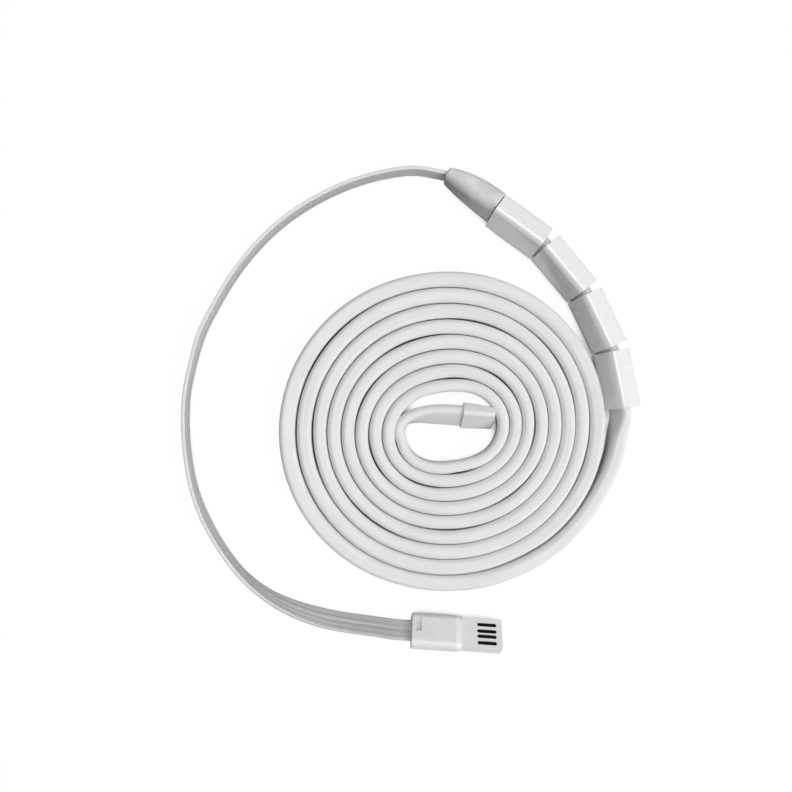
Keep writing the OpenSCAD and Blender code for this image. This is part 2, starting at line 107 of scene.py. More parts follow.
# A little under a half, so that the two rounds at a slot's end don't meet in one edge
SLOT_ROUND = 0.49
SPRING_LOW, SPRING_HIGH, SPRING_PLAY = 1.1, 0.45, 0.05
# Length along the plug, width, and height or depth; the window starts at these x and y
INLET = (0.8, 8.8, 2.4)
WINDOW, WINDOW_AT = (2.4, 5.8, 1.7), (1.6, -0.9)

# End cap
CAP_LENGTH, CAP_GRIP, CAP_WALL, CAP_ROUND, CAP_TAPER = 11.5, 9.0, 0.8, 1.8, 1.4
CAP_END, CAP_END_ROUND, CAP_EDGE = 1.2, 0.7, 0.2
CAP_HEADING, CAP_CLEAR, CAP_RISE, CAP_LEAD_IN = -5.0, 2.75, 5.7, 5.0
TAIL_LEAN = 38.0


# ---------------------------------------------------------------- places along the lead

def ease(t):
    """From 0 to 1, level at both ends."""
    return (1 - cos(pi * min(max(t, 0), 1))) / 2


def along(angle):
    return Vector((cos(radians(angle)), sin(radians(angle))))


def half_extent(width, height, corner, lean):
    """How far a leaning block with round edges reaches to the side of its middle line, or below it."""
    return (width / 2 - corner) * cos(radians(lean)) + (height / 2 - corner) * sin(radians(lean)) + corner


def coil_point(turn):
    """The middle of the wound lead after that many turns from its outer end."""
    angle = COIL_FIRST - 360 * turn
    left = COIL_TURNS - turn
    radius = COIL_INNER_RADIUS + PITCH_INNER * left
    radius += (PITCH_OUTER - PITCH_INNER) / (2 * COIL_TURNS) * left * left
    radius += (OVAL_OUTER + OVAL_STEP * turn) * cos(2 * radians(angle - OVAL_HEADING))
    if turn < SWELL_TURNS:
        radius += COIL_SWELL * sin(pi * turn / SWELL_TURNS) ** 2
    return Vector(COIL_CENTRE) + Vector(COIL_DRIFT) * (turn / COIL_TURNS) + along(angle) * radius


first_east = (360 + COIL_FIRST) / 360
last_east = first_east + int(COIL_TURNS - first_east)
sleeve_foot = half_extent(SLEEVE_WIDTH, SLEEVE_HEIGHT, SLEEVE_ROUND, SLEEVE_LEAN)
bend_radius = coil_point(first_east).x + LEAD_WIDTH / 2 + SLEEVE_CLEAR + sleeve_foot - BEND_CENTRE[0]
half_sleeve = asin(SLEEVE_LENGTH / 2 / bend_radius) * 180 / pi


def arc(length):
    """The angle of the bend that a length along it takes."""
    return length / bend_radius * 180 / pi


sleeve_step = 2 * half_sleeve + arc(SLEEVE_GAP)
sleeve_z = half_extent(SLEEVE_HEIGHT, SLEEVE_WIDTH, SLEEVE_ROUND, SLEEVE_LEAN)
sleeve_bow = bend_radius * (1 - cos(radians(half_sleeve)))
boot_face = BEND_FIRST + half_sleeve + arc(BOOT_GAP)
bend_start = boot_face + arc(BOOT_GRIP)
bend_end = BEND_FIRST - 3 * sleeve_step - half_sleeve - BEND_TRAVEL - arc(RUN_LEAD_IN)
coil_radius = COIL_INNER_RADIUS + COIL_TURNS * (PITCH_OUTER + PITCH_INNER) / 2
coil_ahead = (coil_point(COIL_TURNS) - coil_point(COIL_TURNS - 0.01)).normalized()
coil_end = coil_point(COIL_TURNS) + coil_ahead * COIL_END_RUN
plug_z = half_extent(PLUG_THICKNESS, PLUG_WIDTH, PLUG_ROUND, PLUG_ROLL)
cap_width = LEAD_WIDTH + PLAY + 2 * CAP_WALL
cap_height = LEAD_HEIGHT + PLAY + 2 * CAP_WALL
cap_z = half_extent(cap_height, cap_width, CAP_ROUND, TAIL_LEAN)
cap_at = Vector((coil_point(last_east).x - LEAD_WIDTH / 2 - CAP_CLEAR - CAP_LENGTH,
                 COIL_CENTRE[1] + COIL_DRIFT[1] + CAP_RISE))


def on_bend(angle, out=0.0):
    """A point on the bend of the sleeves, or so far outside it."""
    at = Vector(BEND_CENTRE) + along(angle) * (bend_radius + out)
    return Vector((at.x, at.y, sleeve_z))


def boot_axis(share):
    """The middle of the boot at a share of its length from the wide end."""
    at = on_bend(boot_face, BOOT_OUT)
    steps = 12
    for i in range(steps):
        ahead = along(BOOT_HEADING + BOOT_TURN * share * (i + 0.5) / steps)
        at -= ahead.to_3d() * (BOOT_LENGTH * share / steps)
    at.z = sleeve_z - BOOT_DROP * ease(share)
    return at


# ---------------------------------------------------------------- routes: x, y, height, lean

RIBBON_ROUTE = [
    (-5, -86.9, 6.2, 52), (-14, -86.2, 4.6, 49), (-24, -85.2, 3.7, 47), (-34.5, -83.2, 3.7, 42),
    (-46, -79.5, 3.8, 27), (-57.5, -73.5, 4, 10), (-67.5, -65, 4, 2), (-75.5, -54.5, 4, 0),
    (-82, -43, 4, 0), (-86.5, -31, 4.1, -3), (-89, -18, 4.1, -4), (-90, -5.5, 4.1, -4),
    (-89.5, 7, 4.1, -4), (-87, 19.5, 4.1, -3), (-83.5, 31.5, 4, 0), (-78, 42.5, 4, 0),
    (-71.5, 53.5, 4, 0), (-64, 63.5, 4, 0), (-55.5, 72.5, 4, 0), (-45.5, 80.5, 4, 0),
    (-34, 87.3, 4.1, 0), (-22, 92.3, 4.6, 0), (-9.5, 95.4, 5.5, 0), (2.5, 96.4, 6.6, 0)]

# Direction from the coil's middle, distance outside its first turn, height, lean
RUN_ROUTE = [
    (-10, 4.6, 5, -2), (-15, 3.8, 5.1, -3), (-21, 2.9, 5.1, -4), (-27.5, 2.1, 5.1, -4),
    (-34, 1.5, 5.1, -4), (-41, 0.9, 5.1, -3), (-48.5, 0.3, 5, -1)]
# On the run the lead spreads to this half width and tucks in, over so many degrees of the bend
RUN_HALF_WIDTH, RUN_TUCK, RUN_TURN = 2.75, 0.9, 6.5

# From the coil's end
TAIL_ROUTE = [
    (0.9, 2.4, 5.05, 1), (2.9, 4, 5.1, 5), (5.6, 5.1, 5.15, 13), (9, 5.8, 5.15, 22),
    (13.5, 6.1, 5.3, 32)]


def turn_gap(turn):
    """The gap between neighbours: mostly shut, with a few looser places along the coil."""
    angle = radians(360 * turn)
    loose = max(0, sin(2 * angle + LOOSE_DRIFT * turn)) ** 4
    return TURN_GAP + (LOOSE_GAP - TURN_GAP) * loose


def wound_halves(turn):
    """Half widths of the wound lead, towards the turn outside it and the turn inside it."""
    here = coil_point(turn)
    out = (coil_point(turn - 1) - here).length if turn >= 1 else 2 * WOUND_HALF_WIDTH + TURN_GAP
    inn = (coil_point(turn + 1) - here).length if turn <= COIL_TURNS - 1 else PITCH_INNER
    out = min(WOUND_HALF_WIDTH, (out - turn_gap(turn)) / 2)
    inn = min(WOUND_HALF_WIDTH, (inn - turn_gap(turn + 1)) / 2)
    return out, inn


def lead_route():
    """The whole lead, from inside the boot to inside the cap: place, height, lean, half widths."""
    free = (LEAD_WIDTH / 2, LEAD_WIDTH / 2)
    steps = 22
    route = []
    for i in range(steps + 1):
        angle = bend_start + (bend_end - bend_start) * i / steps
        held = ease((angle - bend_end) / RUN_TURN)
        half = RUN_HALF_WIDTH + (LEAD_WIDTH / 2 - RUN_HALF_WIDTH) * held
        at = on_bend(angle, -RUN_TUCK * (1 - held))
        z = LEAD_HEIGHT / 2 + (sleeve_z - LEAD_HEIGHT / 2) * held
        route.append((at.x, at.y, z, SLEEVE_LEAN * held, half, half))
    for angle, out, z, lean in RUN_ROUTE:
        at = Vector(COIL_CENTRE) + along(angle) * (coil_radius + out)
        route.append((at.x, at.y, z, lean, RUN_HALF_WIDTH, RUN_HALF_WIDTH))
    loops = round(COIL_TURNS * 24)
    for i in range(loops + 1):
        turn = i * COIL_TURNS / loops
        lean = COIL_LEAN * ease(turn / LEAN_START) * ease((COIL_TURNS - turn) / LEAN_END)
        fade = ease((COIL_TURNS - turn) / SWELL_END)
        out, inn = (LEAD_WIDTH / 2 + (half - LEAD_WIDTH / 2) * fade for half in wound_halves(turn))
        at = coil_point(turn)
        z = half_extent(LEAD_HEIGHT, 2 * max(out, inn), LEAD_FOOT_ROUND, abs(lean))
        route.append((at.x, at.y, z, lean, out, inn))
    route.append((coil_end.x, coil_end.y, LEAD_HEIGHT / 2, 0, *free))
    for x, y, z, lean in TAIL_ROUTE:
        route.append((coil_end.x + x, coil_end.y + y, z, lean, *free))
    for ahead in (-CAP_LEAD_IN, CAP_GRIP):
        at = cap_at + along(CAP_HEADING) * ahead
        route.append((at.x, at.y, cap_z, TAIL_LEAN, *free))
    return route


def smooth_route(route, step):
    """Points every step or so on one smooth curve through the route, with all that it carries."""
    points = [Vector(p) for p in route]
    points = [2 * points[0] - points[1]] + points + [2 * points[-1] - points[-2]]
    line = []
    for before, a, b, after in zip(points, points[1:], points[2:], points[3:]):
        apart = xyz(b - a).length
        slope_a = (b - before) * (apart / max(xyz(b - before).length, 1e-6))
        slope_b = (after - a) * (apart / max(xyz(after - a).length, 1e-6))
        count = max(1, ceil(apart / step))
        for i in range(count):
            t = i / count
            line.append(a * (2 * t ** 3 - 3 * t ** 2 + 1) + slope_a * (t ** 3 - 2 * t ** 2 + t)
                        + b * (3 * t ** 2 - 2 * t ** 3) + slope_b * (t ** 3 - t ** 2))
    return line + [points[-2]]


def xyz(p):
    """The place of a point that carries more than its place."""
    return Vector(p[:3])


# ---------------------------------------------------------------- camera

camera_data = bpy.data.cameras.new("camera")
camera_data.lens = CAMERA_LENS
camera_data.clip_start = 0.01
camera = bpy.data.objects.new("camera", camera_data)
camera.location = Vector(CAMERA_AT) * MM
bpy.context.scene.collection.objects.link(camera)
bpy.context.scene.camera = camera


# ---------------------------------------------------------------- cords

def corner_points(x, y, radius, first, steps):
    return [(x + radius * cos(radians(first + 90 * i / steps)),
             y + radius * sin(radians(first + 90 * i / steps))) for i in range(steps + 1)]


def lead_section(out, inn):
    """Outline of the lead on edge: across, up. Its top edges are rounder than its foot."""
    top, foot = LEAD_HEIGHT / 2 - LEAD_ROUND, LEAD_HEIGHT / 2 - LEAD_FOOT_ROUND
    return (corner_points(out - LEAD_ROUND, top, LEAD_ROUND, 0, 6)
            + corner_points(-inn + LEAD_ROUND, top, LEAD_ROUND, 90, 6)
            + corner_points(-inn + LEAD_FOOT_ROUND, -foot, LEAD_FOOT_ROUND, 180, 3)
            + corner_points(out - LEAD_FOOT_ROUND, -foot, LEAD_FOOT_ROUND, 270, 3))


def ribbon_section():
    """Outline of the ribbon on edge, swollen a little over each core inside it."""
    top = RIBBON_HEIGHT / 2 - RIBBON_ROUND
    levels = 26
    side = []
    for i in range(1, levels):
        y = top - 2 * top * i / levels
        nearest = min(abs(y - core) for core in CORE_YS)
        side.append((RIBBON_WIDTH / 2 - RIB_DEPTH * ease(nearest), y))
    left = corner_points(-RIBBON_WIDTH / 2 + RIBBON_ROUND, top, RIBBON_ROUND, 90, 4)
    left += [(-x, y) for x, y in side]
    left += corner_points(-RIBBON_WIDTH / 2 + RIBBON_ROUND, -top, RIBBON_ROUND, 180, 4)
    return left + [(-x, -y) for x, y in left]


def lay_strip(name, line, sections):
    """Skin over the sections, each square to the line and leaning with it."""
    verts, lengths = [], [0.0]
    for i, p in enumerate(line):
        ahead = line[min(i + 1, len(line) - 1)] - line[max(i - 1, 0)]
        ahead = Vector(ahead[:2]).normalized()
        left = Vector((-ahead.y, ahead.x, 0))
        lean = radians(p[3])
        across = left * cos(lean) - Vector((0, 0, 1)) * sin(lean)
        up = left * sin(lean) + Vector((0, 0, 1)) * cos(lean)
        verts += [(xyz(p) + across * x + up * y) * MM for x, y in sections[i]]
        if i:
            lengths.append(lengths[-1] + (xyz(p) - xyz(line[i - 1])).length)
    outline = [Vector(p) for p in sections[0]]
    n = len(outline)
    around = [0.0]
    for j in range(n):
        around.append(around[-1] + (outline[(j + 1) % n] - outline[j]).length)
    faces, coordinates = [], []
    for i in range(len(line) - 1):
        for j in range(n):
            a, b = i * n + j, i * n + (j + 1) % n
            faces.append((a, a + n, b + n, b))
            coordinates += [(lengths[i], around[j]), (lengths[i + 1], around[j]),
                            (lengths[i + 1], around[j + 1]), (lengths[i], around[j + 1])]
    faces += [tuple(range(n)), tuple(reversed(range(len(verts) - n, len(verts))))]
    coordinates += [(0, around[j]) for j in range(n)] + [(lengths[-1], around[j]) for j in range(n)]
    mesh = bpy.data.meshes.new(name)
    mesh.from_pydata(verts, [], faces)
    layer = mesh.uv_layers.new(name="along")
    layer.data.foreach_set("uv", [value * MM for pair in coordinates for value in pair])
    for face in mesh.polygons:
        face.use_smooth = len(face.vertices) == 4
    piece = bpy.data.objects.new(name, mesh)
    bpy.context.scene.collection.objects.link(piece)
    return piece


def make_ribbon():
    start = Vector(PLUG_AT) + along(-PLUG_HEADING) * INLET[0]
    end = boot_axis(1)
    route = [(start.x, start.y, plug_z, 90 - PLUG_ROLL)] + RIBBON_ROUTE + [(*end, 0)]
    line = smooth_route(route, RIBBON_STEP)
    piece = lay_strip("ribbon", line, [ribbon_section()] * len(line))
    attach(piece, "cable")
    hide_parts("ribbon_lead")
    return piece


def make_lead():
    line = smooth_route(lead_route(), LEAD_STEP)
    piece = lay_strip("lead", line, [lead_section(p[4], p[5]) for p in line])
    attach(piece, "cable")
    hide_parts("lead_sleeved", "lead_run", "lead_coil", "lead_tail")
    return piece, line


ribbon = make_ribbon()
lead, lead_line = make_lead()


# ---------------------------------------------------------------- modelling by hand

def block(name, length, width, height, first_x=0.0, y=0.0, z=0.0):
    """A block that starts at first_x and is centred on y and z."""
    bpy.ops.object.select_all(action="DESELECT")
    middle = Vector((first_x + length / 2, y, z)) * MM
    bpy.ops.mesh.primitive_cube_add(size=1, location=middle)
    piece = bpy.context.active_object
    piece.name = name
    piece.data.name = name
    piece.scale = Vector((length, width, height)) * MM
    bpy.ops.object.transform_apply(location=True, rotation=True, scale=True)
    return piece


def edit(piece):
    bpy.ops.object.select_all(action="DESELECT")
    bpy.context.view_layer.objects.active = piece
    piece.select_set(True)
    bpy.ops.object.mode_set(mode="EDIT")
    bpy.ops.mesh.select_all(action="DESELECT")


def leave():
    bpy.ops.object.mode_set(mode="OBJECT")


def pick(piece, kind, test):
    """Selects the faces or edges of the piece in edit mode that pass the test."""
    bpy.ops.mesh.select_mode(type=kind)
    bpy.ops.mesh.select_all(action="DESELECT")
    mesh = bmesh.from_edit_mesh(piece.data)
    parts = {"EDGE": mesh.edges, "FACE": mesh.faces}[kind]
    for part in parts:
        part.select_set(bool(test(part)))
    bmesh.update_edit_mesh(piece.data)


def runs_along(axis):
    """A test for straight edges along that axis: 0 for x, 1 for y, 2 for z."""
    def test(edge):
        line = edge.verts[0].co - edge.verts[1].co
        return abs(line[axis]) > 0.9999 * line.length
    return test


def rear(face):
    return face.normal.x < -0.99


def front(face):
    return face.normal.x > 0.99


def extrude(ahead, aside=0.0):
    """Draws the picked face out along x, and aside along y, by that many millimetres."""
    bpy.ops.mesh.extrude_region_move(TRANSFORM_OT_translate={"value": (ahead * MM, aside * MM, 0)})


def squeeze(x, across, up, y=0.0):
    """Scales the picked face about the piece's axis at x."""
    bpy.ops.transform.resize(value=(1, across, up), center_override=(x * MM, y * MM, 0))


def use_modifier(piece, kind, **settings):
    bpy.ops.object.select_all(action="DESELECT")
    bpy.context.view_layer.objects.active = piece
    piece.select_set(True)
    modifier = piece.modifiers.new(kind.lower(), kind)
    for key, value in settings.items():
        setattr(modifier, key, value)
    bpy.ops.object.modifier_apply(modifier=modifier.name)


def cut(piece, cutter):
    """Takes the cutter's space out of the piece."""
    use_modifier(piece, "BOOLEAN", operation="DIFFERENCE", solver="EXACT", object=cutter)
    bpy.data.objects.remove(cutter, do_unlink=True)


def shade(piece, angle):
    """Shades the broad faces flat, and what bends by less than the angle smooth."""
    bpy.ops.object.shade_smooth_by_angle(angle=radians(angle))
    use_modifier(piece, "WEIGHTED_NORMAL", keep_sharp=True, weight=60)


def soften_edges(piece, width, segments=3, angle=35):
    """Rounds every edge sharper than the angle."""
    use_modifier(piece, "BEVEL", width=width * MM, segments=segments, limit_method="ANGLE",
                 angle_limit=radians(angle))
    shade(piece, 40)


def settle(piece, at, *turns):
    """Turns the piece, moves it to its place in millimetres, and puts that into its mesh."""
    matrix = Matrix.Translation(Vector(at) * MM)
    for angle, axis in turns:
        matrix = matrix @ Matrix.Rotation(radians(angle), 4, axis)
    bpy.ops.object.select_all(action="DESELECT")
    bpy.context.view_layer.objects.active = piece
    piece.select_set(True)
    piece.matrix_world = matrix
    bpy.ops.object.transform_apply(location=True, rotation=True, scale=True)


# ---------------------------------------------------------------- sleeves

def make_sleeve():
    """One sleeve about the origin, along x, with its bore drawn in by the bow of the bend."""
    length = SLEEVE_LENGTH + 2 * SLEEVE_CROWN
    sleeve = block("sleeve", length, SLEEVE_WIDTH, SLEEVE_HEIGHT, -length / 2)
    edit(sleeve)
    pick(sleeve, "EDGE", runs_along(0))
    bpy.ops.mesh.bevel(offset=SLEEVE_ROUND * MM, segments=10, affect="EDGES")
    pick(sleeve, "FACE", lambda face: abs(face.normal.x) > 0.99)
    bpy.ops.mesh.inset(thickness=(SLEEVE_WIDTH - BORE_WIDTH) / 2 * MM)
    bpy.ops.transform.translate(value=(0, -sleeve_bow / 2 * MM, 0))
    bpy.ops.mesh.delete(type="FACE")
    pick(sleeve, "EDGE", lambda edge: edge.is_boundary)
    bpy.ops.mesh.bridge_edge_loops()
    leave()
    soften_edges(sleeve, SLEEVE_EDGE)
    return sleeve


def slip_on_sleeves():
    model = make_sleeve()
    pieces = []
    for k in range(4):
        piece = model.copy()
        piece.data = model.data.copy()
        piece.name = f"sleeve_shell_{k + 1}"
        bpy.context.scene.collection.objects.link(piece)
        angle = BEND_FIRST - k * sleeve_step
        settle(piece, on_bend(angle), (angle - 90, "Z"), (-SLEEVE_LEAN, "X"))
        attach(piece, f"sleeve_{k + 1}")
        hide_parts(f"sleeve_{k + 1}")
        pieces.append(piece)
    bpy.data.objects.remove(model, do_unlink=True)
    return pieces


# ---------------------------------------------------------------- boot

def boot_bow(share):
    """How far the boot's middle lies outside a straight line, at a share of its length."""
    return BOOT_BOW * sin(pi * share)


def make_boot():
    """Drawn out from its wide face to the ribbon, ever slimmer, then twisted upright and bent."""
    steps = 24
    step = BOOT_LENGTH / (steps + 1)
    boot = block("boot_moulding", step + BOOT_REACH, *BOOT_END, -step)
    edit(boot)
    pick(boot, "EDGE", runs_along(0))
    bpy.ops.mesh.bevel(offset=BOOT_ROUNDNESS * BOOT_END[0] * MM, segments=8, affect="EDGES")
    pick(boot, "FACE", front)
    bpy.ops.mesh.bevel(offset=BOOT_RIM * MM, segments=3, affect="EDGES")
    pick(boot, "FACE", rear)
    size = BOOT_END
    for k in range(1, steps + 1):
        share = (k / steps) ** BOOT_FULLNESS
        new = tuple(wide + (slim - wide) * share for wide, slim in zip(BOOT_END, BOOT_TIP))
        bow = boot_bow(k / steps)
        extrude(-step, bow - boot_bow((k - 1) / steps))
        squeeze(-step * (k + 1), new[0] / size[0], new[1] / size[1], bow)
        size = new
    bpy.ops.mesh.bevel(offset=BOOT_TIP_ROUND * MM, segments=4, affect="EDGES")
    leave()
    settle(boot, (0, 0, 0), (-BOOT_LEAN, "X"))
    use_modifier(boot, "SIMPLE_DEFORM", deform_method="TWIST", deform_axis="X", angle=-radians(BOOT_LEAN))
    use_modifier(boot, "SIMPLE_DEFORM", deform_method="BEND", deform_axis="Z", angle=-radians(BOOT_TURN))
    nose_down = asin(BOOT_DROP / BOOT_LENGTH) * 180 / pi
    settle(boot, boot_axis(0) + Vector((0, 0, BOOT_RISE)), (BOOT_HEADING, "Z"), (-nose_down, "Y"))

    socket = block("lead_socket", BOOT_GRIP + 1, LEAD_WIDTH + PLAY, LEAD_HEIGHT + PLAY, -BOOT_GRIP)
    settle(socket, on_bend(boot_face), (boot_face - 90, "Z"), (-SLEEVE_LEAN, "X"))
    cut(boot, socket)
    cavity = block("splice_cavity", SPLICE_ROOM + 1, SPLICE_WIDTH, SPLICE_HEIGHT, -SPLICE_ROOM)
    settle(cavity, on_bend(bend_start), (BOOT_HEADING + SPLICE_TURN, "Z"), (-SLEEVE_LEAN, "X"))
    cut(boot, cavity)
    shade(boot, 35)
    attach(boot, "cable")
    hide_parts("boot")
    return boot


# ---------------------------------------------------------------- plug

def settle_on_plug(piece):
    settle(piece, (*PLUG_AT, plug_z), (-PLUG_HEADING, "Z"), (-PLUG_ROLL, "X"))


def make_grip():
    """The plug's handle: rounded, with a slope down to the tongue, an inlet and a shallow window."""
    grip = block("plug_grip", PLUG_LENGTH, PLUG_WIDTH, PLUG_THICKNESS)
    edit(grip)
    pick(grip, "EDGE", runs_along(0))
    bpy.ops.mesh.bevel(offset=PLUG_ROUND * MM, segments=10, affect="EDGES")
    pick(grip, "FACE", rear)
    bpy.ops.mesh.bevel(offset=REAR_ROUND * MM, segments=4, affect="EDGES")
    pick(grip, "FACE", front)
    steps = 8
    size = (PLUG_WIDTH, PLUG_THICKNESS)
    collar = (TONGUE_WIDTH + 2 * COLLAR_EDGE, TONGUE_THICKNESS + 2 * COLLAR_EDGE)
    for k in range(1, steps + 1):
        share = ease(k / steps)
        new = (PLUG_WIDTH + (collar[0] - PLUG_WIDTH) * share,
               PLUG_THICKNESS + (collar[1] - PLUG_THICKNESS) * share)
        extrude(SLOPE_LENGTH / steps)
        squeeze(PLUG_LENGTH + SLOPE_LENGTH * k / steps, new[0] / size[0], new[1] / size[1])
        size = new
    leave()
    cut(grip, block("inlet", INLET[0] + 1, INLET[1], INLET[2], -1))
    cut(grip, block("window", WINDOW[0], WINDOW[1], WINDOW[2] + 1, WINDOW_AT[0],
                    WINDOW_AT[1] + WINDOW[1] / 2, PLUG_THICKNESS / 2 + (1 - WINDOW[2]) / 2))
    root_x = PLUG_LENGTH + SLOPE_LENGTH - ROOT_DEPTH
    cut(grip, block("root_socket", ROOT_DEPTH + 1, TONGUE_WIDTH - 2 * ROOT_STEP + ROOT_PLAY,
                    TONGUE_THICKNESS - 2 * ROOT_STEP + ROOT_PLAY, root_x))
    soften_edges(grip, GRIP_EDGE, segments=2, angle=42)
    settle_on_plug(grip)
    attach(grip, "cable")
    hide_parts("plug_body")
    return grip


def slot_shape(name, y, low, high, margin=0.0):
    """A bar with round ends over one contact slot, between two depths under the blade's face."""
    first = PLUG_LENGTH + SLOPE_LENGTH + TONGUE_LENGTH - SLOT_SETBACK - SLOT_LENGTH
    bar = block(name, SLOT_LENGTH - 2 * margin, SLOT_WIDTH - 2 * margin, low - high, first + margin,
                y, TONGUE_THICKNESS / 2 - (low + high) / 2)
    edit(bar)
    pick(bar, "EDGE", runs_along(2))
    bpy.ops.mesh.bevel(offset=(SLOT_WIDTH - 2 * margin) * SLOT_ROUND * MM, segments=8, affect="EDGES")
    leave()
    return bar


def make_contact_springs():
    """What shows in the slots: dark sprung strips that fill them, above the soldered contacts; their dark is
    painted shade.
    """
    springs = []
    for number, y in enumerate(SLOT_YS, 1):
        spring = slot_shape(f"contact_spring_{number}", y, SPRING_LOW, SPRING_HIGH, SPRING_PLAY)
        settle_on_plug(spring)
        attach(spring, "cable")
        springs.append(spring)
    return springs


def make_tongue():
    """The blade of the plug with its four contact slots and the root that seats in the grip."""
    front_x = PLUG_LENGTH + SLOPE_LENGTH
    tongue = block("plug_blade", TONGUE_LENGTH, TONGUE_WIDTH, TONGUE_THICKNESS, front_x)
    edit(tongue)
    pick(tongue, "EDGE", lambda edge: runs_along(2)(edge) and edge.verts[0].co.x > (front_x + 1) * MM)
    bpy.ops.mesh.bevel(offset=TIP_BEVEL * MM, segments=3, affect="EDGES")
    pick(tongue, "FACE", rear)
    bpy.ops.mesh.inset(thickness=ROOT_STEP * MM)
    extrude(-ROOT_DEPTH)
    leave()
    for y in SLOT_YS:
        cut(tongue, slot_shape("slot_cutter", y, SLOT_DEPTH, -1))
    soften_edges(tongue, TONGUE_EDGE, angle=42)
    settle_on_plug(tongue)
    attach(tongue, "cable")
    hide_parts("plug_tongue")
    return tongue


# ---------------------------------------------------------------- end cap

def make_cap():
    """A thimble over the lead's end, a little slimmer at its closed end."""
    length = CAP_LENGTH + CAP_END
    cap = block("cap_thimble", length, cap_width, cap_height)
    edit(cap)
    pick(cap, "EDGE", runs_along(0))
    bpy.ops.mesh.bevel(offset=CAP_ROUND * MM, segments=8, affect="EDGES")
    pick(cap, "FACE", front)
    squeeze(length, 1 - CAP_TAPER / cap_width, 1 - CAP_TAPER / cap_height)
    bpy.ops.mesh.bevel(offset=CAP_END_ROUND * MM, segments=4, affect="EDGES")
    pick(cap, "FACE", rear)
    bpy.ops.mesh.inset(thickness=CAP_WALL * MM)
    extrude(CAP_GRIP)
    leave()
    soften_edges(cap, CAP_EDGE, angle=42)
    settle(cap, (*cap_at, cap_z), (CAP_HEADING, "Z"), (-TAIL_LEAN, "X"))
    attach(cap, "cable")
    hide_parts("end_cap")
    return cap


sleeves = slip_on_sleeves()
boot = make_boot()
grip = make_grip()
tongue = make_tongue()
springs = make_contact_springs()
cap = make_cap()


# ---------------------------------------------------------------- materials

def linear(hex_colour):
    """A colour written as sRGB hex, for a shader socket."""
    channels = [int(hex_colour[i:i + 2], 16) / 255 for i in (1, 3, 5)]
    return tuple(c / 12.92 if c <= 0.04045 else ((c + 0.055) / 1.055) ** 2.4 for c in channels) + (1.0,)


def add_node(tree, kind, settings=None, links=None):
    """A node with its settings and what is linked into it."""
    node = tree.nodes.new(kind)
    for key, value in (settings or {}).items():
        if isinstance(key, str) and hasattr(node, key):
            setattr(node, key, value)
        else:
            node.inputs[key].default_value = value
    for socket, source in (links or {}).items():
        tree.links.new(source, node.inputs[socket])
    return node


def new_material(name):
    material = bpy.data.materials.new(name)
    material.use_nodes = True
    material.node_tree.nodes.clear()
    return material, material.node_tree


def noise(tree, place, size_mm, detail=2.0):
    """Noise whose patches are about that many millimetres across."""
    scale = 1 / (size_mm * MM)
    return add_node(tree, "ShaderNodeTexNoise", {"Scale": scale, "Detail": detail}, {"Vector": place})


def blend_colours(tree, share, first, second):
    """From one colour to the other by the share, each a hex value or a socket."""
    mix = add_node(tree, "ShaderNodeMix", {"data_type": "RGBA"}, {0: share})
    for socket, colour in ((6, first), (7, second)):
        if isinstance(colour, str):
            mix.inputs[socket].default_value = linear(colour)
        else:
            tree.links.new(colour, mix.inputs[socket])
    return mix.outputs[2]


def span(tree, value, low, high, start=0.0, end=1.0):
    """Stretches a value between start and end to run from low to high."""
    return add_node(tree, "ShaderNodeMapRange",
                    {"From Min": start, "From Max": end, "To Min": low, "To Max": high},
                    {"Value": value}).outputs["Result"]


def bumps(tree, height, micrometres, after=None):
    links = {"Height": height}
    if after:
        links["Normal"] = after
    return add_node(tree, "ShaderNodeBump", {"Strength": 1.0, "Distance": micrometres * 1e-6},
                    links).outputs["Normal"]


def plastic(tree, colour, roughness, normal, **constants):
    """The surface itself: what varies is linked, what is the same all over is set on the shader."""
    links = {"Base Color": colour, "Roughness": roughness, "Normal": normal}
    settings = {key.replace("_", " ").title().replace("Ior", "IOR"): value
                for key, value in constants.items()}
    shader = add_node(tree, "ShaderNodeBsdfPrincipled", settings, links)
    add_node(tree, "ShaderNodeOutputMaterial", {}, {"Surface": shader.outputs["BSDF"]})


def draw_out(tree, uv, share):
    """Squeezes the strip's coordinates along its length, so that noise there runs in long streaks."""
    drawn = add_node(tree, "ShaderNodeMapping", {"Scale": (share, 1.0, 1.0)}, {"Vector": uv})
    return drawn.outputs["Vector"]


def extruded_silicone():
    """Soft white silicone, extruded: a satin skin with faint die lines along its length, and a
    little dust that has caught on it."""
    material, tree = new_material("extruded_silicone")
    uv = add_node(tree, "ShaderNodeUVMap", {"uv_map": "along"}).outputs["UV"]
    drawn = draw_out(tree, uv, 0.02)
    place = add_node(tree, "ShaderNodeTexCoord").outputs["Object"]
    lines = noise(tree, drawn, 0.7).outputs["Fac"]
    cloud = noise(tree, place, 14, 3).outputs["Fac"]
    dust = noise(tree, place, 0.55, 1).outputs["Fac"]
    colour = blend_colours(tree, span(tree, cloud, 0, 1, 0.3, 0.7), "#ECECEC", "#E7E7E7")
    colour = blend_colours(tree, span(tree, lines, 0, 0.5, 0.4, 0.75), colour, "#D8D8D8")
    colour = blend_colours(tree, span(tree, dust, 0, 0.7, 0.79, 0.83), colour, "#A8A8A8")
    roughness = span(tree, lines, 0.38, 0.5)
    normal = bumps(tree, lines, 14)
    normal = bumps(tree, noise(tree, place, 3.5, 2).outputs["Fac"], 30, normal)
    plastic(tree, colour, roughness, normal, ior=1.42)
    return material


